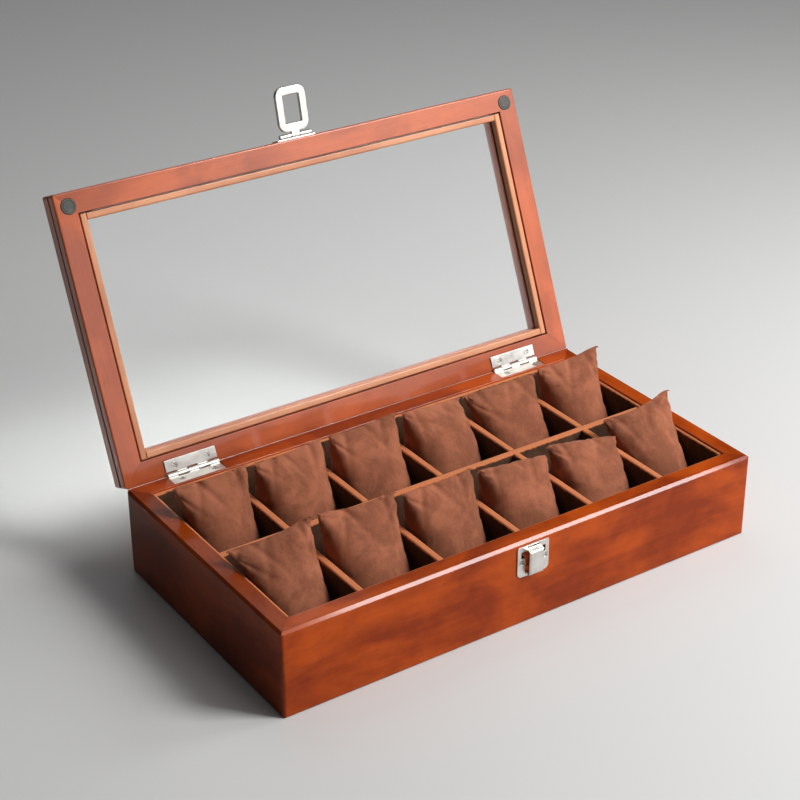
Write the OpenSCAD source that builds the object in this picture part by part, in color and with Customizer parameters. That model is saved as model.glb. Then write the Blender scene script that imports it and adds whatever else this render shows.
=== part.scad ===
// Watch box: a stained wooden tray with twelve cushioned pockets under a hinged, glazed lid.
// The origin is the centre of the underside. +X runs along the front, +Y towards the hinges, +Z up.
// The lid is drawn open on its stop, with its clasp loop standing up.

/* [Tray] */
// Outside length of the tray and the lid
box_l = 330; // [300:1:360]
// Outside depth of the tray and the lid
box_w = 177; // [165:1:190]
// Height of the tray
tray_h = 55; // [50:1:65]
// Thickness of the tray walls
wall_t = 11.3; // [10.5:0.1:13]
// Rounding of the upright corners
corner_r = 2; // [1:0.5:4]
// Bevel of the rim's outer edge, on all sides but the hinges'
rim_bevel = 1.6; // [0.5:0.1:3]
// Thickness of the base board
base_t = 4; // [3:0.5:6]
// Thickness of the cloth-covered board on the base board
lining_t = 1.5; // [1:0.5:3]
// Thickness of the lining boards along the walls
liner_t = 2; // [1.5:0.5:3]
// Depth of the lining boards' top edge under the rim
liner_drop = 1.2; // [1:0.1:4]

/* [Pockets] */
// Thickness of the dividers
divider_t = 4.6; // [3:0.1:5]
// Depth of the dividers' top edge under the rim
divider_drop = 2.5; // [1:0.1:5]
// Rounding of the dividers' and lining boards' top edges
board_r = 1.2; // [0.2:0.1:1.2]
// Distance between neighbouring short dividers
divider_pitch = 53.2; // [48:0.1:55]
// Number of short dividers
divider_n = 5; // [3:2:5]
// Gap between a cushion and the boards beside it
cushion_gap = 0.6; // [0.4:0.1:1.5]
// Thickness of a cushion, front to back
cushion_t = 50; // [40:1:52]
// How far a cushion leans back
cushion_lean = 10; // [0:1:12]

/* [Lid] */
// Thickness of the lid frame
lid_t = 16; // [14:0.1:18]
// Gap between the closed lid and the rim
lid_gap = 0.8; // [0.6:0.1:1.2]
// How far the lid is turned back from closed
lid_open = 112.5; // [95:0.5:115]
// Width of the frame's inner face
frame_w = 13.3; // [12.5:0.1:15]
// Width of the frame at its outer face, where it laps over the glass
lap_w = 18.4; // [17.5:0.1:22]
// Rounding of the lid's upper outer edge
lid_r = 1.2; // [0.5:0.1:4]
// Rounding of the lid's lower outer edge, on all sides but the hinges'
lid_edge_r = 0.9; // [0.3:0.1:2]
// Height of the groove round the lid's sides over its lower edge
groove_z = 6; // [5:0.1:8]
// Width of the groove
groove_w = 1.8; // [1:0.1:2.5]
// Depth of the groove
groove_d = 1.2; // [0.5:0.1:2]
// Thickness of the glass
glass_t = 3; // [2:0.5:4]
// Depth of the glazing beads
bead_h = 4.4; // [3.5:0.1:5]
// Diameter of the round pads in the lid's front corners
bumper_d = 9.5; // [7:0.5:10]
// Distance of a pad's centre from both outer edges
bumper_in = 8.4; // [7:0.1:9]

/* [Hinges] */
// Width of a hinge
hinge_w = 34.5; // [28:0.5:40]
// Distance of a hinge's middle from the box's middle
hinge_x = 120.4; // [100:0.1:130]
// Depth of a hinge leaf, from the pin outwards
leaf_d = 9.6; // [9:0.1:10]
// Thickness of a hinge leaf
leaf_t = 1; // [0.8:0.1:1.2]
// Radius of the knuckles
knuckle_r = 1.75; // [1.6:0.05:2]
// Radius of the hinge pins
pin_r = 0.85; // [0.7:0.05:1]
// Distance of the pins behind the back wall
pin_back = 0; // [0:0.1:1]
// Depth of the pins' middle under the rim
pin_drop = 0.05; // [0:0.05:0.3]
// Number of knuckles in a hinge
knuckle_n = 5; // [3:2:7]

/* [Clasp] */
// Width of the clasp's plate on the lid
clasp_w = 29; // [26:0.5:34]
// Height of the clasp's plate on the lid
clasp_h = 6.9; // [6:0.1:7]
// Width of the loop
loop_w = 22; // [18:0.5:26]
// Length of the loop from its pin to its far end
loop_l = 30.4; // [30:0.1:32]
// Thickness of the loop
loop_t = 2.4; // [1.8:0.1:2.4]
// How far the raised loop tips from straight out towards the tray
loop_tip = 10; // [0:1:20]
// Width of the catch plate on the tray
catch_w = 22; // [21:0.5:25]
// Height of the catch plate
catch_h = 20; // [18:0.5:22]

/* [Hidden] */
$fn = 48;
eps = 0.01;
reach = 30;

// tray
inner_x = box_l / 2 - wall_t;
inner_y = box_w / 2 - wall_t;
base_lap = 5;
base_fit = 0.1;
floor_z = base_t + lining_t;
liner_top = tray_h - liner_drop;
divider_top = tray_h - divider_drop;
halving_z = (floor_z + divider_top) / 2;
halving_fit = 0.05;
pocket_x = inner_x - liner_t;
pocket_y = inner_y - liner_t;
divider_xs = [for (i = [0 : divider_n - 1]) (i - (divider_n - 1) / 2) * divider_pitch];
// the edges of each column of pockets, from left to right
column_lo = concat([-pocket_x], [for (x = divider_xs) x + divider_t / 2]);
column_hi = concat([for (x = divider_xs) x - divider_t / 2], [pocket_x]);
column_n = divider_n + 1;
cushion_top = tray_h - 0.4;
cushion_bottom = floor_z + cushion_gap;
cushion_h = cushion_top - cushion_bottom - 0.4;
cushion_bulge_r = 40;
cushion_side_r = 90;

// lid, in its closed place
lid_z = tray_h + lid_gap;
hinge_edge_r = 0.1;
lid_top = lid_z + lid_t;
glass_seat = 0.1;
bead_recess = 0.2;
bead_groove = 1;
side_bead_l = box_w - 2 * (frame_w + bead_groove);
front_bead_l = box_l - 2 * (lap_w + 0.05);
glass_z = lid_z + bead_recess + bead_h;
rebate_h = bead_recess + bead_h + glass_t + glass_seat;
bumper_sink = 1.2;
bumper_proud = 0.5;

// hinge
leaf_gap = 0.3;
axis_y = box_w / 2 + pin_back;
axis_z = tray_h - pin_drop;
mortise_fit = 0.3;
mortise_z = axis_z - leaf_gap / 2 - leaf_t;
knuckle_fit = 0.15;
knuckle_w = hinge_w / knuckle_n;
bore_fit = 0.05;
relief_r = knuckle_r + 0.35;
leaf_start = knuckle_r + 0.8;
hinge_screw_x = 11;
hinge_screw_y = 6.2;

// screws
screw_head_r = 1.9;
screw_head_h = 0.7;
screw_r = 0.8;
screw_l = 6;
screw_fit = 0.05;
screw_sink = 0.2;
slot_l = 2.7;
slot_w = 0.6;
slot_d = 0.4;

// clasp, in its closed place
clasp_t = 0.8;
clasp_z = lid_z + 0.7;
clasp_screw_x = 12;
clasp_screw_z = clasp_z + clasp_h - 2.8;
clasp_knuckle_r = 1.5;
clasp_pin_r = 0.7;
clasp_knuckle_in = 3.2;
clasp_knuckle_out = 11;
clasp_axis_y = -box_w / 2 - clasp_t - 1.5;
clasp_axis_z = lid_z + 1.8;
loop_bar = 5.6;
loop_inner_r = 0.4;
loop_start = 2.2;
loop_edge_r = 0.9;
loop_neck_w = 5.6;
catch_t = 0.8;
catch_z = 32;
catch_corner_r = 3;
tongue_w = 10;
tongue_window_w = 11;
tongue_out = 4.7;
tongue_t = 0.9;
tongue_top = 49.5;
tongue_bottom = 33.6;
tongue_lip = 2.2;
tongue_r = 1.6;
tongue_bevel = 0.8;
catch_recess = 6;
catch_wing_w = 17;
catch_wing_h = 4.4;
catch_slot_w = 8.4;
catch_slot_h = 1;
catch_slot_z = 50.7;
catch_window_h = tongue_top - tongue_bottom - tongue_t;
catch_window_z = tongue_bottom + catch_window_h / 2;
catch_screw_x = 8.3;
catch_screw_z = 42;

// ---- shared shapes ----

// What rounding an edge takes away, for material that fills the quarter x > 0, y > 0
module corner_cut(r) {
    difference() {
        translate([-1, -1]) square(r + 1);
        translate([r, r]) circle(r);
    }
}

// The same for a flat bevel
module bevel_cut(c) {
    polygon([[-1, -1], [c + 1, -1], [-1, c + 1]]);
}

module rounded_rect(l, w, r) {
    square([l - 2 * r, w], center = true);
    square([l, w - 2 * r], center = true);
    for (x = [-1, 1], y = [-1, 1]) {
        translate([x * (l / 2 - r), y * (w / 2 - r)]) circle(r);
    }
}

// One mitred side of a frame, from a profile of distance inwards and height.
// turn picks the side, run is its length and across the frame's size the other way.
module mitred_side(turn, run, across) {
    rotate([0, 0, turn])
    intersection() {
        translate([0, -across / 2, 0])
        rotate([90, 0, 90])
        linear_extrude(run, center = true)
        children();

        translate([0, 0, -1])
        linear_extrude(lid_top + 2)
        intersection() {
            rounded_rect(run, across, corner_r);
            polygon([
                [-run / 2, -across / 2],
                [run / 2, -across / 2],
                [run / 2 - reach, -across / 2 + reach],
                [-run / 2 + reach, -across / 2 + reach]
            ]);
        }
    }
}

// Drawn closed, shown open on its stop
module opened() {
    translate([0, axis_y, axis_z])
    rotate([-lid_open, 0, 0])
    translate([0, -axis_y, -axis_z])
    children();
}

// A countersunk screw along -Z, for a plate whose face is at z = 0
module screw() {
    color("gainsboro")
    translate([0, 0, -screw_sink])
    difference() {
        union() {
            translate([0, 0, -screw_head_h]) cylinder(h = screw_head_h, r1 = screw_r, r2 = screw_head_r);
            translate([0, 0, -screw_l]) cylinder(h = screw_l, r = screw_r);
        }
        for (a = [45, 135]) {
            rotate([0, 0, a])
            cube([slot_l, slot_w, 2 * slot_d], center = true);
        }
    }
}

// What a screw takes out of the metal and wood that it goes into
module screw_hole() {
    z = -screw_sink - screw_fit;
    translate([0, 0, z - screw_head_h]) {
        cylinder(h = screw_head_h, r1 = screw_r + screw_fit, r2 = screw_head_r + screw_fit);
    }
    translate([0, 0, z - eps]) cylinder(h = 1, r = screw_head_r + screw_fit);
    translate([0, 0, z - screw_l]) cylinder(h = screw_l, r = screw_r + screw_fit);
}

// ---- tray ----

module wall_profile(bevel) {
    difference() {
        square([wall_t, tray_h]);
        translate([0, tray_h]) mirror([0, 1]) bevel_cut(bevel);
        translate([wall_t, tray_h]) rotate(180) corner_cut(0.7);
        corner_cut(1);
        translate([wall_t - base_lap, -1]) square([base_lap + 1, base_t + 1]);
    }
}

module wall(turn, run, across, bevel = rim_bevel) {
    color("sienna") mitred_side(turn, run, across) wall_profile(bevel);
}

module front_wall() {
    difference() {
        wall(0, box_l, box_w);
        catch_places() screw_hole();
        translate([0, catch_recess - box_w / 2, 0]) {
            rotate([90, 0, 0]) linear_extrude(catch_recess + 1) catch_window();
        }
    }
}

module back_wall() {
    difference() {
        wall(180, box_l, box_w, hinge_edge_r);
        for (side = [-1, 1]) {
            translate([side * hinge_x, 0, 0]) hinge_mortise();
        }
        hinge_places() screw_hole();
    }
}

module left_wall() {
    wall(-90, box_w, box_l);
}

module right_wall() {
    wall(90, box_w, box_l);
}

module base_board() {
    color("saddlebrown")
    linear_extrude(base_t)
    square([2 * (inner_x + base_lap - base_fit), 2 * (inner_y + base_lap - base_fit)], center = true);
}

module floor_lining() {
    color("#3b2417")
    translate([0, 0, base_t])
    linear_extrude(lining_t)
    square([2 * inner_x, 2 * inner_y], center = true);
}

// A lining board of a given length, against its wall, with its open top edge rounded
module liner(l) {
    color("#5a3a25")
    rotate([90, 0, 90])
    linear_extrude(l, center = true)
    difference() {
        translate([0, floor_z]) square([liner_t, liner_top - floor_z]);
        translate([liner_t, liner_top]) rotate(180) corner_cut(board_r);
    }
}

module front_liner() {
    translate([0, -inner_y, 0]) liner(2 * inner_x);
}

module back_liner() {
    rotate([0, 0, 180]) front_liner();
}

module left_liner() {
    rotate([0, 0, -90]) translate([0, -inner_x, 0]) liner(2 * pocket_y);
}

module right_liner() {
    rotate([0, 0, 180]) left_liner();
}

// A divider's section, with its two top edges rounded
module divider_section() {
    difference() {
        translate([-divider_t / 2, floor_z]) square([divider_t, divider_top - floor_z]);
        for (side = [0, 1]) {
            mirror([side, 0]) translate([-divider_t / 2, divider_top]) mirror([0, 1]) corner_cut(board_r);
        }
    }
}

// Crossed boards are halved: the long one is notched from below, the short ones from above
module long_divider() {
    notch = divider_t + 2 * halving_fit;
    color("#8b5a33")
    difference() {
        rotate([90, 0, 90]) linear_extrude(2 * pocket_x, center = true) divider_section();
        for (x = divider_xs) {
            translate([x, 0, floor_z + (halving_z - floor_z) / 2]) {
                cube([notch, divider_t + 1, halving_z - floor_z + 2 * eps], center = true);
            }
        }
    }
}

module short_divider(x) {
    notch = divider_t + 2 * halving_fit;
    color("#8b5a33")
    difference() {
        translate([x, 0, 0]) rotate([90, 0, 0]) linear_extrude(2 * pocket_y, center = true) divider_section();
        translate([x, 0, halving_z + (divider_top - halving_z) / 2]) {
            cube([divider_t + 1, notch, divider_top - halving_z + 2 * eps], center = true);
        }
    }
}

// ---- hinges ----

// Where the hinge screws stand, heads up, for a pair of hinges
module hinge_places() {
    for (side = [-1, 1], x = [-hinge_screw_x, hinge_screw_x]) {
        translate([side * hinge_x + x, axis_y - hinge_screw_y, axis_z - leaf_gap / 2]) children();
    }
}

// The same places on the lid, heads down
module lid_hinge_places() {
    for (side = [-1, 1], x = [-hinge_screw_x, hinge_screw_x]) {
        translate([side * hinge_x + x, axis_y - hinge_screw_y, axis_z + leaf_gap / 2]) {
            rotate([180, 0, 0]) children();
        }
    }
}

// What a hinge takes out of the tray. The lid's mortise is the same, turned over about the pin.
module hinge_mortise() {
    w = hinge_w + 2 * mortise_fit;
    translate([-w / 2, axis_y - leaf_d - mortise_fit, mortise_z]) cube([w, leaf_d + 2, 10]);
    translate([0, axis_y, axis_z]) rotate([0, 90, 0]) cylinder(h = w, r = relief_r, center = true);
}

// A leaf that lies on the low side of the pin, with the knuckles whose number is odd or even
module hinge_leaf(first) {
    color("gainsboro")
    difference() {
        union() {
            translate([-hinge_w / 2, -leaf_d, -leaf_gap / 2 - leaf_t]) {
                cube([hinge_w, leaf_d - leaf_start, leaf_t]);
            }
            for (k = [first : 2 : knuckle_n - 1]) {
                lo = -hinge_w / 2 + k * knuckle_w + (k > 0 ? knuckle_fit : 0);
                hi = -hinge_w / 2 + (k + 1) * knuckle_w - (k < knuckle_n - 1 ? knuckle_fit : 0);
                translate([lo, 0, 0]) rotate([0, 90, 0]) cylinder(h = hi - lo, r = knuckle_r);
                translate([lo, -leaf_start - eps, -leaf_gap / 2 - leaf_t]) {
                    cube([hi - lo, leaf_start + eps, leaf_t]);
                }
            }
        }
        rotate([0, 90, 0]) cylinder(h = hinge_w + 1, r = pin_r + bore_fit, center = true);
        for (x = [-hinge_screw_x, hinge_screw_x]) {
            translate([x, -hinge_screw_y, -leaf_gap / 2]) screw_hole();
        }
    }
}

module tray_leaf(side) {
    translate([side * hinge_x, axis_y, axis_z]) hinge_leaf(0);
}

module lid_leaf(side) {
    opened()
    translate([side * hinge_x, axis_y, axis_z])
    mirror([0, 0, 1])
    hinge_leaf(1);
}

module hinge_pin(side) {
    color("silver")
    translate([side * hinge_x, axis_y, axis_z])
    rotate([0, 90, 0])
    cylinder(h = hinge_w + mortise_fit, r = pin_r, center = true);
}

module hinge_tray_screws() {
    hinge_places() screw();
}

module hinge_lid_screws() {
    opened() lid_hinge_places() screw();
}

// ---- lid ----

module lid_profile(edge_r) {
    difference() {
        square([lap_w, lid_t]);
        translate([0, lid_t]) mirror([0, 1]) corner_cut(lid_r);
        corner_cut(edge_r);
        translate([-1, groove_z]) square([groove_d + 1, groove_w]);
        translate([lap_w, lid_t]) rotate(180) corner_cut(1.2);
        translate([frame_w, -1]) square([lap_w, rebate_h + 1]);
    }
}

module lid_side(turn, run, across, edge_r = lid_edge_r) {
    color("peru")
    difference() {
        translate([0, 0, lid_z]) mitred_side(turn, run, across) lid_profile(edge_r);
        for (side = [-1, 1]) {
            translate([side * (box_l / 2 - bumper_in), -box_w / 2 + bumper_in, lid_z - 1]) {
                cylinder(h = bumper_sink + 1, d = bumper_d + 2 * base_fit);
            }
        }
    }
}

module lid_front_rail() {
    opened()
    difference() {
        lid_side(0, box_l, box_w);
        clasp_places() screw_hole();
    }
}

module lid_back_rail() {
    opened()
    difference() {
        lid_side(180, box_l, box_w, hinge_edge_r);
        lid_hinge_places() screw_hole();
        for (side = [-1, 1]) {
            translate([side * hinge_x, 0, 2 * axis_z]) mirror([0, 0, 1]) hinge_mortise();
        }
    }
}

module lid_left_stile() {
    opened() lid_side(-90, box_w, box_l);
}

module lid_right_stile() {
    opened() lid_side(90, box_w, box_l);
}

module glass_pane() {
    slack = frame_w + 0.3;
    color("azure", 0.35)
    opened()
    translate([0, 0, glass_z])
    linear_extrude(glass_t)
    square([box_l - 2 * slack, box_w - 2 * slack], center = true);
}

module bead_profile() {
    w = lap_w - frame_w - bead_groove;
    translate([frame_w + bead_groove, bead_recess])
    difference() {
        square([w, bead_h]);
        corner_cut(0.5);
        translate([w, 0]) mirror([1, 0]) corner_cut(1.2);
    }
}

// A glazing bead along one side of the rebate. The side beads run right through and the others
// are cut square between them.
module bead(turn, run, across) {
    color("sandybrown")
    opened()
    rotate([0, 0, turn])
    translate([0, -across / 2, lid_z])
    rotate([90, 0, 90])
    linear_extrude(run, center = true)
    bead_profile();
}

module bumper(side) {
    r = bumper_d / 2;
    h = bumper_sink + bumper_proud;
    color("#2c302f")
    opened()
    translate([side * (box_l / 2 - bumper_in), -box_w / 2 + bumper_in, lid_z - bumper_proud])
    rotate_extrude()
    difference() {
        square([r, h]);
        translate([r, 0]) mirror([1, 0]) corner_cut(0.5);
        translate([r - 1.3, 0]) circle(0.25);
    }
}

// ---- clasp ----

// Where the screws of the lid's clasp plate stand, heads to the front
module clasp_places() {
    for (x = [-clasp_screw_x, clasp_screw_x]) {
        translate([x, -box_w / 2 - clasp_t, clasp_screw_z]) rotate([90, 0, 0]) children();
    }
}

module clasp_base_plate() {
    color("gainsboro")
    opened()
    difference() {
        union() {
            translate([0, -box_w / 2, clasp_z + clasp_h / 2])
            rotate([90, 0, 0])
            linear_extrude(clasp_t)
            rounded_rect(clasp_w, clasp_h, 1.6);

            for (side = [-1, 1]) {
                middle = side * (clasp_knuckle_in + clasp_knuckle_out) / 2;
                w = clasp_knuckle_out - clasp_knuckle_in;
                translate([middle, clasp_axis_y, clasp_axis_z]) {
                    rotate([0, 90, 0]) cylinder(h = w, r = clasp_knuckle_r, center = true);
                    translate([-w / 2, 0, 0]) cube([w, 1.6, clasp_knuckle_r]);
                }
            }
        }
        translate([0, clasp_axis_y, clasp_axis_z])
        rotate([0, 90, 0])
        cylinder(h = clasp_w, r = clasp_pin_r + bore_fit, center = true);

        clasp_places() screw_hole();
    }
}

module clasp_pin() {
    color("silver")
    opened()
    translate([0, clasp_axis_y, clasp_axis_z])
    rotate([0, 90, 0])
    cylinder(h = 2 * clasp_knuckle_out, r = clasp_pin_r, center = true);
}

module clasp_screws() {
    opened() clasp_places() screw();
}

// A bar's section, with every edge rounded
module bar_section() {
    rounded_rect(loop_bar, loop_t, loop_edge_r);
}

// A straight bar of the loop along X
module loop_bar_x(l) {
    rotate([0, 90, 0]) rotate([0, 0, 90]) linear_extrude(l, center = true) bar_section();
}

// A straight bar of the loop along Y
module loop_bar_y(l) {
    rotate([90, 0, 0]) linear_extrude(l, center = true) bar_section();
}

// A corner of the loop, turned about its inner corner
module loop_corner() {
    rotate_extrude(angle = 90) translate([loop_inner_r + loop_bar / 2, 0]) bar_section();
}

// The loop lying flat: +Y from its pin to its far end
module flat_loop() {
    r = loop_bar + loop_inner_r;
    side_x = loop_w / 2 - loop_bar / 2;
    near_y = loop_start + loop_bar / 2;
    far_y = loop_l - loop_bar / 2;
    for (side = [-1, 1]) {
        translate([side * side_x, (loop_start + loop_l) / 2, 0]) {
            loop_bar_y(loop_l - loop_start - 2 * r);
        }
    }
    translate([0, near_y, 0]) loop_bar_x(loop_w - 2 * r);
    translate([0, far_y, 0]) loop_bar_x(loop_w - 2 * r);
    for (side = [0, 1]) {
        mirror([side, 0, 0]) {
            translate([loop_w / 2 - r, loop_l - r, 0]) loop_corner();
            translate([loop_w / 2 - r, loop_start + r, 0]) mirror([0, 1, 0]) loop_corner();
        }
    }
}

module clasp_loop() {
    color("gainsboro")
    opened()
    translate([0, clasp_axis_y, clasp_axis_z])
    rotate([loop_tip, 0, 0])
    rotate([0, 0, 180])
    difference() {
        union() {
            flat_loop();
            rotate([0, 90, 0]) cylinder(h = loop_neck_w, r = clasp_knuckle_r, center = true);
            translate([-loop_neck_w / 2, 0, -loop_t / 2]) cube([loop_neck_w, loop_start + 2, loop_t]);
        }
        rotate([0, 90, 0]) cylinder(h = loop_w, r = clasp_pin_r + bore_fit, center = true);
    }
}

module catch_places() {
    for (x = [-catch_screw_x, catch_screw_x]) {
        translate([x, -box_w / 2 - catch_t, catch_screw_z]) rotate([90, 0, 0]) children();
    }
}

// The raised tongue, as distance out of the wall and height
module tongue_profile() {
    h = tongue_top - tongue_bottom;
    difference() {
        translate([0, tongue_bottom]) square([tongue_out, h]);
        translate([-1, tongue_bottom + tongue_t]) square([tongue_out - tongue_t + 1, h - 2 * tongue_t]);
        translate([tongue_out, tongue_top]) rotate(180) corner_cut(tongue_r);
        translate([tongue_out, tongue_bottom]) mirror([1, 0]) corner_cut(tongue_r);
        translate([-1, tongue_bottom - 1]) square([tongue_out - tongue_lip - tongue_t + 1, tongue_t + 2]);
    }
}

// The tongue's plan, as place along the wall and distance out of it, with its front edges bevelled
module tongue_plan() {
    half = tongue_w / 2;
    polygon([
        [-half, 0],
        [half, 0],
        [half, tongue_out - tongue_bevel],
        [half - tongue_bevel, tongue_out],
        [tongue_bevel - half, tongue_out],
        [-half, tongue_out - tongue_bevel]
    ]);
}

// The holes in the catch plate and the wall behind it: the tongue's window with its wings, and a slot
module catch_window() {
    translate([0, catch_window_z]) square([tongue_window_w, catch_window_h], center = true);
    translate([0, tongue_top - tongue_t - catch_wing_h / 2]) {
        square([catch_wing_w, catch_wing_h], center = true);
    }
    translate([0, catch_slot_z]) square([catch_slot_w, catch_slot_h], center = true);
}

module catch_plate() {
    color("gainsboro") {
        difference() {
            translate([0, -box_w / 2, catch_z + catch_h / 2])
            rotate([90, 0, 0])
            linear_extrude(catch_t)
            difference() {
                square([catch_w, catch_h], center = true);
                for (side = [0, 1]) {
                    mirror([side, 0]) {
                        translate([-catch_w / 2, -catch_h / 2]) corner_cut(catch_corner_r);
                        translate([-catch_w / 2, catch_h / 2]) mirror([0, 1]) corner_cut(1);
                    }
                }
                translate([0, -catch_z - catch_h / 2]) catch_window();
            }
            catch_places() screw_hole();
        }
        translate([0, -box_w / 2, 0])
        intersection() {
            rotate([90, 0, -90]) linear_extrude(tongue_w, center = true) tongue_profile();
            translate([0, 0, catch_z]) linear_extrude(catch_h) mirror([0, 1]) tongue_plan();
        }
    }
}

module catch_screws() {
    catch_places() screw();
}

// ---- cushions ----

// A cushion in the pocket of a column (from 0 at the left) and a row (-1 front, 1 back)
module cushion(column, row) {
    w = column_hi[column] - column_lo[column] - 2 * cushion_gap;
    color("#6b4030")
    translate([
        (column_lo[column] + column_hi[column]) / 2,
        row * (pocket_y + divider_t / 2) / 2,
        (cushion_top + cushion_bottom) / 2
    ])
    intersection() {
        rotate([-cushion_lean, 0, 0])
        rotate([90, 0, 90])
        linear_extrude(w, center = true)
        crossed_arcs(cushion_t, cushion_h, cushion_bulge_r);

        rotate([90, 0, 0])
        linear_extrude(2 * cushion_t, center = true)
        crossed_arcs(w, cushion_top - cushion_bottom, cushion_side_r);
    }
}

// The plump square that four arcs of one radius leave between them
module crossed_arcs(w, h, r) {
    intersection_for (side = [-1, 1]) {
        intersection() {
            translate([side * (r - w / 2), 0]) circle(r);
            translate([0, side * (r - h / 2)]) circle(r);
        }
    }
}

// ---- nodes ----

front_wall();
back_wall();
left_wall();
right_wall();
base_board();
floor_lining();
front_liner();
back_liner();
left_liner();
right_liner();
long_divider();
for (i = [1 : divider_n]) {
    short_divider(divider_xs[i - 1]);
}
tray_leaf(-1);  // hinge_left_tray_leaf
tray_leaf(1);  // hinge_right_tray_leaf
hinge_pin(-1);  // hinge_left_pin
hinge_pin(1);  // hinge_right_pin
hinge_tray_screws();
catch_plate();
catch_screws();
lid_front_rail();
lid_back_rail();
lid_left_stile();
lid_right_stile();
glass_pane();
bead(0, front_bead_l, box_w);  // bead_front
bead(180, front_bead_l, box_w);  // bead_back
bead(-90, side_bead_l, box_l);  // bead_left
bead(90, side_bead_l, box_l);  // bead_right
bumper(-1);  // bumper_left
bumper(1);  // bumper_right
lid_leaf(-1);  // hinge_left_lid_leaf
lid_leaf(1);  // hinge_right_lid_leaf
hinge_lid_screws();
clasp_base_plate();
clasp_pin();
clasp_screws();
clasp_loop();
for (i = [0 : 2 * column_n - 1]) {
    cushion(i % column_n, i < column_n ? 1 : -1);
}
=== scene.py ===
import math

import bpy
import numpy as np
from mathutils import Matrix, Vector


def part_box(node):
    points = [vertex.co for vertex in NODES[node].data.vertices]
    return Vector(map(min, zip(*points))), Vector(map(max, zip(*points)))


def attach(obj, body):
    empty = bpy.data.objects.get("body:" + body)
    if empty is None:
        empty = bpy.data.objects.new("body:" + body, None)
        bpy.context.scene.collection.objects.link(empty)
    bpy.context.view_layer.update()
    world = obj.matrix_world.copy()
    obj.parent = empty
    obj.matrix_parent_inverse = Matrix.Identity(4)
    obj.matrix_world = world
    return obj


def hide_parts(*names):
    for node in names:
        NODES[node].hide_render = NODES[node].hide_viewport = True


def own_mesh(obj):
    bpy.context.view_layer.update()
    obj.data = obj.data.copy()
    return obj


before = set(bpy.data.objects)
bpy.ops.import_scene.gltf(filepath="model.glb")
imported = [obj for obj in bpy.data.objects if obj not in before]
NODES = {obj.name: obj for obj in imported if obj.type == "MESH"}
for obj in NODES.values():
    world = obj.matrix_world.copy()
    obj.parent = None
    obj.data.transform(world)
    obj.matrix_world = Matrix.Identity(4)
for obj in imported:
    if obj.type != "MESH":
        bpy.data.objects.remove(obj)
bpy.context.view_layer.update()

MM = 0.001

# ---- camera, floor and light ----

CAMERA_PLACE = (-0.568, -0.804, 0.630)
CAMERA_TURN = 33.78
CAMERA_DOWN = 28.11
CAMERA_ROLL = -0.37
CAMERA_LENS = 85.97
WORLD_STRENGTH = 0.035
BOX_MIDDLE = (0, 0, 0.05)
# each softbox: its name, its place, what it faces, its width and height, its power
LIGHTS = (
    ("key_light", (0.8, -0.9, 1.2), BOX_MIDDLE, (0.5, 0.7), 25),
    ("right_card", (0.7, -0.25, 0.55), BOX_MIDDLE, (0.3, 0.3), 2.4),
    ("lid_card", (0.7, -1.3, 0.43), (0, 0.1, 0.15), (1.4, 0.7), 5.2),
    ("top_light", (0.2, 0.3, 1.3), BOX_MIDDLE, (1.0, 1.0), 2),
    ("back_light", (0.3, 2.2, 2.0), (0, 1.2, 0), (2.0, 2.0), 6),
)
FLOOR_HALF = 4.0
FLOOR_DROP = 0.2 * MM


def make_camera():
    data = bpy.data.cameras.new("camera")
    data.lens = CAMERA_LENS
    data.clip_start = 0.01
    camera = bpy.data.objects.new("camera", data)
    bpy.context.scene.collection.objects.link(camera)
    turn = Matrix.Rotation(math.radians(-CAMERA_TURN), 4, "Z")
    tilt = Matrix.Rotation(math.radians(90 - CAMERA_DOWN), 4, "X")
    roll = Matrix.Rotation(math.radians(CAMERA_ROLL), 4, "Z")
    camera.matrix_world = Matrix.Translation(CAMERA_PLACE) @ turn @ tilt @ roll
    bpy.context.scene.camera = camera


def add_light(name, place, aim, size, power):
    """A rectangular softbox at place, facing aim."""
    data = bpy.data.lights.new(name, "AREA")
    data.shape = "RECTANGLE"
    data.size, data.size_y = size
    data.energy = power
    light = bpy.data.objects.new(name, data)
    light.location = place
    light.rotation_euler = (Vector(aim) - Vector(place)).to_track_quat("-Z", "Y").to_euler()
    bpy.context.scene.collection.objects.link(light)


def make_world():
    world = bpy.data.worlds.new("studio")
    world.use_nodes = True
    background = world.node_tree.nodes["Background"]
    background.inputs["Color"].default_value = (0.94, 0.96, 1.0, 1)
    background.inputs["Strength"].default_value = WORLD_STRENGTH
    bpy.context.scene.world = world
    bpy.context.scene.view_settings.view_transform = "Standard"


def make_floor():
    mesh = bpy.data.meshes.new("floor")
    corners = [(FLOOR_HALF * x, FLOOR_HALF * y, 0) for x, y in ((-1, -1), (1, -1), (1, 1), (-1, 1))]
    mesh.from_pydata(corners, [], [(0, 1, 2, 3)])
    floor = bpy.data.objects.new("floor", mesh)
    floor.location.z = -FLOOR_DROP
    bpy.context.scene.collection.objects.link(floor)
    material = bpy.data.materials.new("floor")
    material.use_nodes = True
    shader = material.node_tree.nodes["Principled BSDF"]
    shader.inputs["Base Color"].default_value = (0.66, 0.66, 0.65, 1)
    shader.inputs["Roughness"].default_value = 0.6
    mesh.materials.append(material)


# ---- building materials ----


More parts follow.
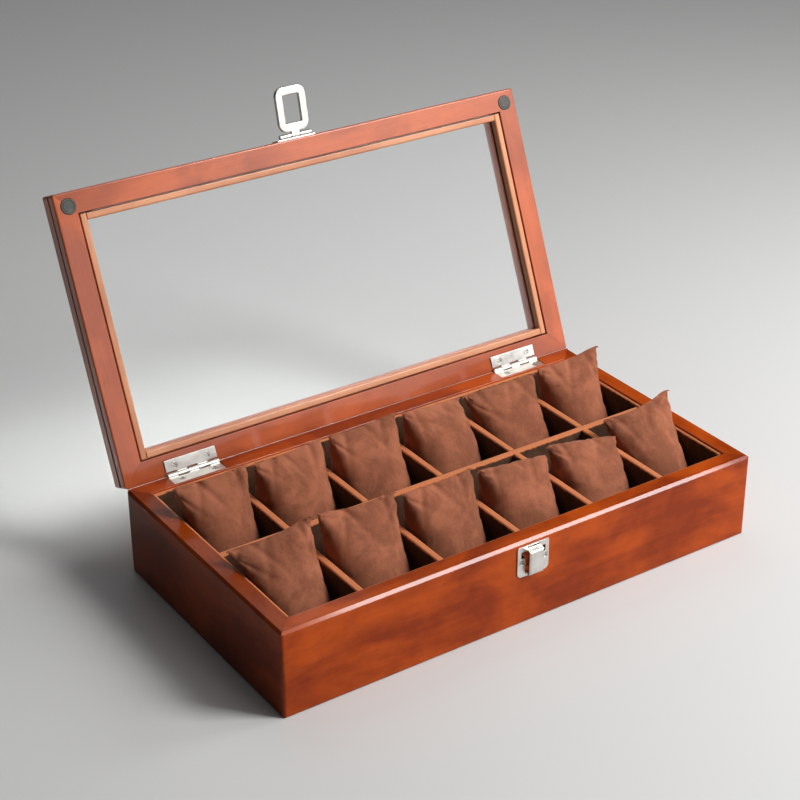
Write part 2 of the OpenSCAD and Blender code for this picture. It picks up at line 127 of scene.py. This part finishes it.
class Recipe:
    """A material with one Principled shader. Sockets and plain numbers wire up its nodes."""

    def __init__(self, name):
        self.material = bpy.data.materials.new(name)
        self.material.use_nodes = True
        self.tree = self.material.node_tree
        self.shader = self.tree.nodes["Principled BSDF"]

    def feed(self, node, inputs):
        for name, value in inputs.items():
            socket = node.inputs[name]
            if isinstance(value, bpy.types.NodeSocket):
                self.tree.links.new(value, socket)
            elif isinstance(value, tuple) and len(value) == 3 and socket.type == "RGBA":
                socket.default_value = (*value, 1)
            else:
                socket.default_value = value

    def add(self, kind, inputs, output=0, **properties):
        node = self.tree.nodes.new(kind)
        for name, value in properties.items():
            setattr(node, name, value)
        self.feed(node, inputs)
        return node.outputs[output]

    def place(self):
        return self.add("ShaderNodeTexCoord", {}, "Object")

    def turned(self, vector, degrees, axis="X"):
        inputs = {"Vector": vector, "Angle": math.radians(degrees)}
        return self.add("ShaderNodeVectorRotate", inputs, rotation_type=axis + "_AXIS")

    def scaled(self, vector, scale, shift=(0, 0, 0)):
        return self.add("ShaderNodeMapping", {"Vector": vector, "Scale": scale, "Location": shift})

    def noise(self, vector, scale, detail=3.0, roughness=0.55, distortion=0.0):
        inputs = {
            "Vector": vector,
            "Scale": scale,
            "Detail": detail,
            "Roughness": roughness,
            "Distortion": distortion,
        }
        return self.add("ShaderNodeTexNoise", inputs, "Fac")

    def ramp(self, value, low, high, out_low=0.0, out_high=1.0):
        """value spread from low..high to out_low..out_high, smoothly and clamped."""
        inputs = {
            "Value": value,
            "From Min": low,
            "From Max": high,
            "To Min": out_low,
            "To Max": out_high,
        }
        return self.add("ShaderNodeMapRange", inputs, interpolation_type="SMOOTHSTEP")

    def mix(self, share, first, second):
        node = self.tree.nodes.new("ShaderNodeMix")
        node.data_type = "RGBA"
        for socket, value in ((node.inputs[0], share), (node.inputs[6], first), (node.inputs[7], second)):
            if isinstance(value, bpy.types.NodeSocket):
                self.tree.links.new(value, socket)
            elif isinstance(value, tuple):
                socket.default_value = (*value, 1)
            else:
                socket.default_value = value
        return node.outputs[2]

    def sum(self, first, second):
        node = self.tree.nodes.new("ShaderNodeMath")
        for socket, value in zip(node.inputs, (first, second)):
            if isinstance(value, bpy.types.NodeSocket):
                self.tree.links.new(value, socket)
            else:
                socket.default_value = value
        return node.outputs[0]

    def axis(self, vector, letter):
        return self.add("ShaderNodeSeparateXYZ", {"Vector": vector}, letter)

    def bump(self, height, depth, strength=1.0, normal=None):
        inputs = {"Height": height, "Distance": depth, "Strength": strength}
        if normal is not None:
            inputs["Normal"] = normal
        return self.add("ShaderNodeBump", inputs)

    def eased_edges(self, radius):
        """The surface's direction, with sharp edges broken by a small radius."""
        return self.add("ShaderNodeBevel", {"Radius": radius}, samples=6)

    def finish(self, **settings):
        self.feed(self.shader, settings)
        return self.material


# ---- wood ----

LID_TURN = 112.5
COAT_FADE_FROM = 2.5 * MM
COAT_FADE_TO = 1.5 * MM
SIDE_COAT = 0.1
FULL_COAT = 0.5
# share of the stain kept on the left wall: painted shade, darkening that wall for the shade that falls on
# that side
LEFT_WALL_PAINTED_SHADE = 0.6


def stained_wood(name, along, on_lid, seed, light, dark, gloss):
    """Lacquered wood with cloudy stain, faint streaks along the board, and fine pores.
    along is the axis of the grain on the closed box. The tray's lacquer shines most at its rim."""
    recipe = Recipe(name)
    place = recipe.place()
    if on_lid:
        place = recipe.turned(place, LID_TURN)
    if along == "Y":
        place = recipe.turned(place, 90, "Z")
    board = recipe.scaled(place, (1, 1, 1), (seed * 0.37, seed * 0.19, seed * 0.23))
    clouds = recipe.noise(recipe.scaled(board, (14, 26, 26)), 1.0, 4.0, 0.5, 0.6)
    streaks = recipe.noise(recipe.scaled(board, (9, 170, 170)), 1.0, 4.0, 0.6, 0.4)
    pores = recipe.noise(recipe.scaled(board, (70, 1500, 1500)), 1.0, 2.0, 0.6)
    mottle = recipe.noise(board, 130, 4.0, 0.6)

    tone = recipe.ramp(clouds, 0.34, 0.66)
    tone = recipe.sum(tone, recipe.ramp(streaks, 0.3, 0.7, -0.12, 0.12))
    tone = recipe.sum(tone, recipe.ramp(mottle, 0.3, 0.7, -0.1, 0.1))
    stain = recipe.mix(tone, dark, light)
    stain = recipe.mix(recipe.ramp(pores, 0.55, 0.75, 0.0, 0.3), stain, tuple(c * 0.45 for c in dark))

    relief = recipe.bump(pores, 0.00003, 0.5, recipe.eased_edges(0.0005))
    relief = recipe.bump(streaks, 0.00008, 0.2, relief)
    coat = FULL_COAT
    if not on_lid:
        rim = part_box("front_wall")[1].z
        height = recipe.axis(place, "Z")
        coat = recipe.ramp(height, rim - COAT_FADE_FROM, rim - COAT_FADE_TO, SIDE_COAT, FULL_COAT)
    return recipe.finish(**{
        "Base Color": stain,
        "Roughness": recipe.ramp(streaks, 0.3, 0.7, gloss, gloss + 0.09),
        "Specular IOR Level": 0.4 if on_lid else 0.1,
        "Coat Weight": coat,
        "Coat Roughness": 0.09,
        "Normal": relief,
    })


CHERRY_LIGHT = (0.46, 0.068, 0.004)
CHERRY_DARK = (0.23, 0.027, 0.002)
LID_LIGHT = (0.55, 0.107, 0.024)
LID_DARK = (0.36, 0.063, 0.013)
BEAD_LIGHT = (0.66, 0.27, 0.12)
BEAD_DARK = (0.50, 0.17, 0.065)
WOOD_NODES = {
    "front_wall": ("X", False),
    "back_wall": ("X", False),
    "left_wall": ("Y", False),
    "right_wall": ("Y", False),
    "lid_front_rail": ("X", True),
    "lid_back_rail": ("X", True),
    "lid_left_stile": ("Y", True),
    "lid_right_stile": ("Y", True),
}
BEAD_NODES = {"bead_front": "X", "bead_back": "X", "bead_left": "Y", "bead_right": "Y"}


# ---- cloth ----


def suede(name, light, dark, grain, lit_from=None, lit_colour=None):
    """Short-napped cloth: brushed patches, a speckle of fibres and a soft sheen.
    Where a second colour is given, the cloth above the given height has it: painted light, a lit copy of the
    cloth for a top edge in full light."""
    recipe = Recipe(name)
    place = recipe.place()
    patches = recipe.noise(place, 45, 4.0, 0.6, 0.8)
    strokes = recipe.noise(recipe.scaled(place, (260, 260, 120)), 1.0, 3.0, 0.6, 0.5)
    nap = recipe.noise(place, 1900, 3.0, 0.7)
    tone = recipe.sum(recipe.ramp(patches, 0.34, 0.66), recipe.ramp(strokes, 0.3, 0.7, -0.22, 0.22))
    tone = recipe.sum(tone, recipe.ramp(nap, 0.3, 0.7, -0.3, 0.3))
    colour = recipe.mix(tone, dark, light)
    # painted light: above the given height the cloth takes the lit colour, a painted highlight for its top
    # edge; below it keeps its shaded colour
    if lit_colour is not None:
        height = recipe.axis(place, "Z")
        rise = recipe.sum(height, recipe.ramp(strokes, 0.3, 0.7, -0.0004, 0.0004))
        lit_flecks = recipe.mix(recipe.ramp(nap, 0.4, 0.72), lit_colour, tuple(c * 0.62 for c in lit_colour))
        colour = recipe.mix(recipe.ramp(rise, lit_from, lit_from + LIT_BAND_BLEND), colour, lit_flecks)
    relief = recipe.bump(nap, grain, 0.6)
    relief = recipe.bump(strokes, 0.00035, 0.35, relief)
    return recipe.finish(**{
        "Base Color": colour,
        "Roughness": recipe.ramp(nap, 0.3, 0.7, 0.82, 0.98),
        "Specular IOR Level": 0.15,
        "Sheen Weight": 0.35,
        "Sheen Roughness": 0.45,
        "Sheen Tint": (1.0, 0.64, 0.45),
        "Normal": relief,
    })


SUEDE_LIGHT = (0.36, 0.122, 0.064)
SUEDE_DARK = (0.23, 0.076, 0.039)
# painted shade: the lining's colours are a shaded copy of the tan cloth, for its sides and floors in shadow
SHADED_LINING_LIGHT = (0.105, 0.047, 0.026)
SHADED_LINING_DARK = (0.055, 0.024, 0.013)
# painted light: the lit copy of the lining cloth, for the divider and liner tops in full light
PAINTED_LIT_TAN = (0.66, 0.215, 0.085)
CLOTH_GRAIN = 0.12 * MM
CUSHION_GRAIN = 0.16 * MM
# how far below their tops the dividers and liners take the painted lit colour, and how softly it blends in
DIVIDER_LIT_BAND = 1.4 * MM
LINER_LIT_BAND = 1.1 * MM
LIT_BAND_BLEND = 0.9 * MM


# ---- metal, glass and rubber ----


def bright_nickel():
    recipe = Recipe("nickel")
    place = recipe.place()
    haze = recipe.noise(place, 160, 3.0, 0.6)
    rubbed = recipe.noise(recipe.scaled(place, (300, 2600, 2600)), 1.0, 2.0, 0.5)
    spots = recipe.noise(place, 900, 2.0, 0.5)
    colour = recipe.mix(recipe.ramp(haze, 0.35, 0.65), (0.64, 0.62, 0.58), (0.73, 0.72, 0.68))
    colour = recipe.mix(recipe.ramp(spots, 0.66, 0.74, 0.0, 0.3), colour, (0.36, 0.34, 0.30))
    dullness = recipe.ramp(spots, 0.6, 0.75, 0.0, 0.1)
    roughness = recipe.sum(recipe.ramp(haze, 0.3, 0.7, 0.32, 0.44), dullness)
    return recipe.finish(**{
        "Base Color": colour,
        "Metallic": 1.0,
        "Roughness": roughness,
        "Normal": recipe.bump(rubbed, 0.00002, 0.25, recipe.eased_edges(0.0003)),
    })


def clear_glass():
    """Float glass with faint dust and wiping marks. Lamps shine through it."""
    recipe = Recipe("clear_glass")
    place = recipe.turned(recipe.place(), LID_TURN)
    wipes = recipe.noise(recipe.scaled(place, (6, 30, 6)), 1.0, 4.0, 0.6, 1.2)
    tint = recipe.mix(recipe.ramp(wipes, 0.4, 0.7), (0.985, 0.995, 0.99), (0.972, 0.985, 0.979))
    recipe.feed(recipe.shader, {
        "Base Color": tint,
        "Roughness": 0.0,
        "Transmission Weight": 1.0,
        "IOR": 1.5,
        "Specular IOR Level": 0.15,
    })
    tree = recipe.tree
    lamps = tree.nodes.new("ShaderNodeLightPath").outputs["Is Shadow Ray"]
    clear = tree.nodes.new("ShaderNodeBsdfTransparent")
    clear.inputs["Color"].default_value = (0.93, 0.95, 0.94, 1)
    mixer = tree.nodes.new("ShaderNodeMixShader")
    tree.links.new(lamps, mixer.inputs[0])
    tree.links.new(recipe.shader.outputs[0], mixer.inputs[1])
    tree.links.new(clear.outputs[0], mixer.inputs[2])
    tree.links.new(mixer.outputs[0], tree.nodes["Material Output"].inputs["Surface"])
    return recipe.material


def rubber():
    recipe = Recipe("bumper_rubber")
    place = recipe.place()
    dust = recipe.noise(place, 700, 4.0, 0.65)
    cloud = recipe.noise(place, 180, 2.0, 0.5)
    colour = recipe.mix(recipe.ramp(cloud, 0.35, 0.65), (0.055, 0.055, 0.046), (0.085, 0.083, 0.068))
    colour = recipe.mix(recipe.ramp(dust, 0.55, 0.75, 0.0, 0.5), colour, (0.16, 0.15, 0.125))
    return recipe.finish(**{
        "Base Color": colour,
        "Roughness": recipe.ramp(dust, 0.3, 0.7, 0.5, 0.75),
        "Normal": recipe.bump(dust, 0.00006, 0.5),
    })


def base_cloth():
    """The thin flock that covers the base board."""
    recipe = Recipe("base_flock")
    place = recipe.place()
    fibres = recipe.noise(place, 1600, 3.0, 0.7)
    wear = recipe.noise(place, 25, 4.0, 0.6)
    colour = recipe.mix(recipe.ramp(wear, 0.35, 0.65), (0.035, 0.018, 0.012), (0.06, 0.032, 0.022))
    colour = recipe.mix(recipe.ramp(fibres, 0.5, 0.8, 0.0, 0.6), colour, (0.12, 0.07, 0.05))
    return recipe.finish(**{
        "Base Color": colour,
        "Roughness": recipe.ramp(fibres, 0.3, 0.7, 0.85, 1.0),
        "Sheen Weight": 0.25,
        "Sheen Roughness": 0.5,
        "Normal": recipe.bump(fibres, 0.0001, 0.7),
    })


def cover(node, material):
    """Gives a CAD node its material."""
    data = NODES[node].data
    data.materials.clear()
    data.materials.append(material)


def dress_frame():
    for seed, (node, (along, on_lid)) in enumerate(WOOD_NODES.items(), 1):
        light, dark = (LID_LIGHT, LID_DARK) if on_lid else (CHERRY_LIGHT, CHERRY_DARK)
        # painted shade: the left wall's stain is darkened for the shade on that side of the box
        if node == "left_wall":
            light, dark = (tuple(LEFT_WALL_PAINTED_SHADE * c for c in colour) for colour in (light, dark))
        wood = stained_wood("cherry_" + node, along, on_lid, seed, light, dark, 0.28)
        cover(node, wood)
    for seed, (node, along) in enumerate(BEAD_NODES.items(), 20):
        wood = stained_wood("oiled_" + node, along, True, seed, BEAD_LIGHT, BEAD_DARK, 0.36)
        cover(node, wood)

    # painted light on the top edges of the liners and dividers, over the painted shade of their sides
    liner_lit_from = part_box("left_liner")[1].z - LINER_LIT_BAND
    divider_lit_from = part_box("long_divider")[1].z - DIVIDER_LIT_BAND
    lining = suede("lining", SHADED_LINING_LIGHT, SHADED_LINING_DARK, CLOTH_GRAIN, liner_lit_from, PAINTED_LIT_TAN)
    divider = suede("divider", SHADED_LINING_LIGHT, SHADED_LINING_DARK, CLOTH_GRAIN, divider_lit_from, PAINTED_LIT_TAN)
    nickel = bright_nickel()
    pads = rubber()
    for node in NODES:
        if "divider" in node:
            cover(node, divider)
        elif "liner" in node or node == "floor_lining":
            cover(node, lining)
        elif node.startswith(("hinge", "clasp", "catch")):
            cover(node, nickel)
        elif node.startswith("bumper"):
            cover(node, pads)
    cover("glass_pane", clear_glass())
    cover("base_board", base_cloth())


# ---- cushions ----

# How each cushion sits: its lean in degrees, and for its left and right ear how
# far behind the pocket's middle and how high over the table the tip is, in millimetres.
POSES = {
    1: (10, (8, 72), (4, 75)),
    2: (11, (4, 73), (8, 74)),
    3: (12, (7, 74), (9, 74)),
    4: (12, (7, 73), (16, 65)),
    5: (12, (17, 64), (8, 70)),
    6: (10, (10, 71), (8, 75)),
    7: (12, (22, 63), (10, 76)),
    8: (12, (11, 75), (7, 75)),
    9: (11, (5, 73), (7, 73)),
    10: (11, (6, 70), (5, 65)),
    11: (12, (9, 68), (5, 61)),
    12: (10, (20, 64), (15, 74)),
}
PER_ROW = 6

# the cushion's shape before it is blown up, and how finely it is divided
COLUMNS = 48
ROWS = 56
HALF_HEIGHT = 31.5 * MM
HALF_DEPTH = 23.5 * MM
FULLEST = -0.35
SIDE_ROUNDING = 0.55
TOP_TAPER = 1.6
CORNER_LIFT = 3 * MM
SIDE_GAP = 0.9 * MM
MIDDLE_HEIGHT = 37.5 * MM

# its simulation
SIM_SCALE = 10.0
SIM_FRAMES = 20
MAX_SHIFT = 4 * MM
PRESSURE = 14
SHRINK_MIN = -0.03
SHRINK_MAX = 0.08

# its creases
FAN_DEPTH = 2.0 * MM
FAN_START = 6 * MM
FAN_REACH = 17 * MM
TUCKS = 3
TUCK_DEPTH = 3.0 * MM
TUCK_WIDTH = 0.08
TUCK_LENGTH = 8 * MM
DENT_DEPTH = 0.8 * MM

# its fit in the pocket: the gaps it keeps, how far its ears reach over the boards, and how softly
# the floor, the sides, and the boards before and behind it press it in
WALL_GAP = 0.5 * MM
EAR_GAP = 0.6 * MM
RIM_REACH = 5.3 * MM
EAR_CLEARANCE = 1 * MM
EAR_RISE = 4 * MM
FLOOR_SOFTNESS = 2 * MM
SIDE_SOFTNESS = 0.8 * MM
FACE_SOFTNESS = 1 * MM


def pocket(number):
    """The lowest and highest corner of a cushion's pocket, from the floor lining to the dividers' tops."""
    column = (number - 1) % PER_ROW
    back = number <= PER_ROW
    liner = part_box("left_liner")[1].x
    dividers = [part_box(f"short_divider_{i}") for i in range(1, PER_ROW)]
    lows = [liner] + [box[1].x for box in dividers]
    highs = [box[0].x for box in dividers] + [-liner]
    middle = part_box("long_divider")
    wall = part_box("back_liner")[0].y
    y_low, y_high = (middle[1].y, wall) if back else (-wall, middle[0].y)
    low = Vector((lows[column], y_low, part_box("floor_lining")[1].z))
    high = Vector((highs[column], y_high, middle[1].z))
    return low, high


def ear_limits(number):
    """How far left and right a cushion's ears may reach over the dividers, or over the rim."""
    low, high = pocket(number)
    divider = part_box("short_divider_1")
    over_divider = (divider[1].x - divider[0].x) / 2 - EAR_GAP
    column = (number - 1) % PER_ROW
    left = low.x - (RIM_REACH if column == 0 else over_divider)
    right = high.x + (RIM_REACH if column == PER_ROW - 1 else over_divider)
    return left, right


def cushion_grid(half_width):
    """The cushion's two faces as grids of points, from seam to seam, in its own frame: X across,
    Y to the back, Z up along its lean. It is fullest low down, and tapers like a tent to its top seam."""
    across, up = np.meshgrid(
        np.linspace(-1, 1, COLUMNS + 1) * math.pi / 2,
        np.linspace(-1, 1, ROWS + 1) * math.pi / 2,
        indexing="ij",
    )
    u, v = np.sin(across), np.sin(up)
    rise = ((v - FULLEST) / (1 - FULLEST)).clip(0)
    fall = ((FULLEST - v) / (1 + FULLEST)).clip(0)
    ends = (1 - rise**TOP_TAPER) * np.sqrt((1 - fall**2).clip(0))
    plump = np.cos(across).clip(0) ** SIDE_ROUNDING * ends
    top = v.clip(0)
    x = half_width * u * (0.96 + 0.04 * np.abs(v) ** 2 + 0.04 * top**4)
    z = HALF_HEIGHT * v + CORNER_LIFT * np.abs(u) ** 3 * top**2
    return [np.stack([x, side * HALF_DEPTH * plump, z], -1) for side in (-1, 1)]


def sewn_mesh(name, front, back):
    """One closed mesh of the two grids, which share their rim, and each vertex's number by its face,
    column and row. The face is -1 on the seam."""
    points, faces, numbers = [], [], {}

    def vertex(side, i, j):
        on_rim = i in (0, COLUMNS) or j in (0, ROWS)
        key = (-1 if on_rim else side, i, j)
        if key not in numbers:
            numbers[key] = len(points)
            points.append((front, back)[side][i, j])
        return numbers[key]

    for i in range(COLUMNS):
        for j in range(ROWS):
            corners = [(i, j), (i + 1, j), (i + 1, j + 1), (i, j + 1)]
            faces.append([vertex(0, *c) for c in corners])
            faces.append([vertex(1, *c) for c in reversed(corners)])
    mesh = bpy.data.meshes.new(name)
    mesh.from_pydata([tuple(p) for p in points], [], faces)
    return mesh, numbers


def reach_ears(points, places, number):
    """The cushion's points in its own frame, with its two top corners drawn out to where its ears sit."""
    low, high = pocket(number)
    centre = (low + high) / 2
    lean, *ears = POSES[number]
    angle = math.radians(lean)
    u, v, _ = places.T
    points = points.copy()
    for end, (behind, height), limit in zip((-1, 1), ears, ear_limits(number)):
        up = height * MM - MIDDLE_HEIGHT
        target = np.array([
            limit - centre.x,
            behind * MM * math.cos(angle) - up * math.sin(angle),
            behind * MM * math.sin(angle) + up * math.cos(angle),
        ])
        tip = points[np.argmax(end * u + v)].copy()
        share = ((1 + end * u) / 2) ** 1.6 * (1 - (1 - v.clip(0) ** 2.5) ** 1.5)
        points += share[:, None] * (target - tip)
    return points


def seam_weights(numbers):
    """How strongly each vertex is drawn in by its seam's thread: most on the seam, little at the corners."""
    weights = {}
    for (_, i, j), number in numbers.items():
        rim = min(i, COLUMNS - i, j, ROWS - j)
        if rim > 2:
            continue
        u, v = abs(2 * i / COLUMNS - 1), abs(2 * j / ROWS - 1)
        weights[number] = (1 - 0.45 * rim) * (1 - 0.8 * min(u, v) ** 8)
    return weights


def inflate(cushion, weights, numbers):
    """The cushion's points after it is blown up as cloth held by its ears, with its seams gathered."""
    group = cushion.vertex_groups.new(name="seam")
    for number, weight in weights.items():
        group.add([number], weight, "REPLACE")
    held = cushion.vertex_groups.new(name="held")
    held.add([n for (_, i, j), n in numbers.items() if j == ROWS and i in (0, COLUMNS)], 1, "REPLACE")
    bpy.context.view_layer.objects.active = cushion
    cloth = cushion.modifiers.new("cloth", "CLOTH")
    settings = cloth.settings
    settings.quality = 5
    settings.tension_stiffness = settings.compression_stiffness = 15
    settings.shear_stiffness = 4
    settings.bending_stiffness = 0.12
    settings.use_pressure = True
    settings.uniform_pressure_force = PRESSURE
    settings.effector_weights.gravity = 0
    settings.vertex_group_mass = "held"
    settings.vertex_group_shrink = "seam"
    settings.shrink_min = SHRINK_MIN
    settings.shrink_max = SHRINK_MAX
    cloth.collision_settings.use_collision = False
    cloth.point_cache.frame_start = 1
    cloth.point_cache.frame_end = SIM_FRAMES
    for step in range(1, SIM_FRAMES + 1):
        bpy.context.scene.frame_set(step)
    posed = cushion.evaluated_get(bpy.context.evaluated_depsgraph_get())
    points = np.array([v.co[:] for v in posed.data.vertices])
    cushion.modifiers.remove(cloth)
    bpy.context.scene.frame_set(1)
    return points


def soft_limit(values, limit, softness):
    """values pressed back below limit, evenly over the last stretch before it."""
    over = (values - (limit - softness)) / softness
    return np.where(over > 0, limit - softness * np.exp(-over.clip(0)), values)


def folds(points, places, number):
    """How far each point stands out of its face because of creases: some that fan out from the two
    ears, a few short tucks under the top seam, and broad soft dents."""
    u, v, side = places.T
    depth = np.zeros(len(points))
    for end in (-1, 1):
        tip = points[np.argmax(end * u + v)]
        away = points - tip
        reach = np.hypot(away[:, 0], away[:, 2])
        turn = np.arctan2(-away[:, 2], -end * away[:, 0])
        wave = np.sin(turn * (3 + number % 2) + number * 1.7 + end + side)
        fan = 0.45 - np.exp(-((wave / 0.4) ** 2))
        depth += FAN_DEPTH * fan * np.clip(reach / FAN_START, 0, 1) * np.exp(-((reach / FAN_REACH) ** 2))
    from_seam = HALF_HEIGHT * (1 - v)
    for tuck in range(TUCKS):
        turn = 2.4 * number + 2.1 * tuck + 0.9 * side
        across = 0.62 * np.sin(turn) - u + 0.03 * np.cos(turn) * from_seam / MM
        depth -= TUCK_DEPTH * np.exp(-((across / TUCK_WIDTH) ** 2) - from_seam / TUCK_LENGTH)
    dents = np.sin(3.1 * u + number) * np.sin(2.7 * v + 1.9 * number + side)
    depth += DENT_DEPTH * dents
    return depth * (1 - np.abs(u) ** 8) * (1 - np.abs(v) ** 24)


def settle(points, places, number):
    """The cushion's points from its own frame to its pocket, where it leans back and is pressed in
    by the floor and the boards round it. Only what stands clear of the boards reaches over them."""
    low, high = pocket(number)
    centre = (low + high) / 2
    angle = math.radians(POSES[number][0])
    side = places[:, 2]
    points = points.copy()
    points[:, 1] += side * folds(points, places, number)
    x = points[:, 0] + centre.x
    y = centre.y + points[:, 1] * math.cos(angle) + points[:, 2] * math.sin(angle)
    z = MIDDLE_HEIGHT + points[:, 2] * math.cos(angle) - points[:, 1] * math.sin(angle)
    z = -soft_limit(-z, -(low.z + WALL_GAP), FLOOR_SOFTNESS)
    above = np.clip((z - high.z - EAR_CLEARANCE) / EAR_RISE, 0, 1)
    ear_left, ear_right = ear_limits(number)
    left = low.x + WALL_GAP + above * (ear_left - low.x - WALL_GAP)
    right = high.x - WALL_GAP + above * (ear_right - high.x + WALL_GAP)
    x = soft_limit(x, right, SIDE_SOFTNESS)
    x = -soft_limit(-x, -left, SIDE_SOFTNESS)
    y = soft_limit(y, high.y - WALL_GAP, FACE_SOFTNESS)
    y = -soft_limit(-y, -(low.y + WALL_GAP), FACE_SOFTNESS)
    return np.stack([x, y, z], -1)


def grid_places(numbers):
    """Where each vertex lies on the cushion: across and up from -1 to 1, and -1, 0 or 1 for the
    front face, the seam and the back face."""
    places = np.zeros((len(numbers), 3))
    for (face, i, j), number in numbers.items():
        u, v = (math.sin((2 * k / count - 1) * math.pi / 2) for k, count in ((i, COLUMNS), (j, ROWS)))
        places[number] = u, v, {-1: 0, 0: -1, 1: 1}[face]
    return places


def make_cushion(number, material):
    low, high = pocket(number)
    front, back = cushion_grid((high.x - low.x) / 2 - SIDE_GAP)
    mesh, numbers = sewn_mesh(f"cushion_cover_{number}", front, back)
    cushion = bpy.data.objects.new(mesh.name, mesh)
    bpy.context.scene.collection.objects.link(cushion)
    places = grid_places(numbers)
    start = SIM_SCALE * reach_ears(np.array([v.co[:] for v in mesh.vertices]), places, number)
    mesh.vertices.foreach_set("co", start.ravel())
    points = start
    shift = inflate(cushion, seam_weights(numbers), numbers) - start
    length = np.linalg.norm(shift, axis=1, keepdims=True)
    points = start + shift * np.minimum(1, MAX_SHIFT * SIM_SCALE / np.maximum(length, 1e-9))
    points = settle(points / SIM_SCALE, places, number)
    mesh.vertices.foreach_set("co", points.ravel())
    mesh.polygons.foreach_set("use_smooth", [True] * len(mesh.polygons))
    mesh.materials.append(material)
    mesh.update()
    smooth = cushion.modifiers.new("smooth", "SUBSURF")
    smooth.levels = smooth.render_levels = 1
    bpy.context.view_layer.objects.active = cushion
    bpy.ops.object.modifier_apply(modifier=smooth.name)
    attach(cushion, f"cushion_{number}")
    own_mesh(cushion)
    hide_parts(f"cushion_{number}")


# ---- the scene ----

make_camera()
make_floor()
make_world()
for light in LIGHTS:
    add_light(*light)
dress_frame()
cushion_cloth = suede("cushion_suede", SUEDE_LIGHT, SUEDE_DARK, CUSHION_GRAIN)
for cushion_number in POSES:
    make_cushion(cushion_number, cushion_cloth)

bpy.context.view_layer.update()
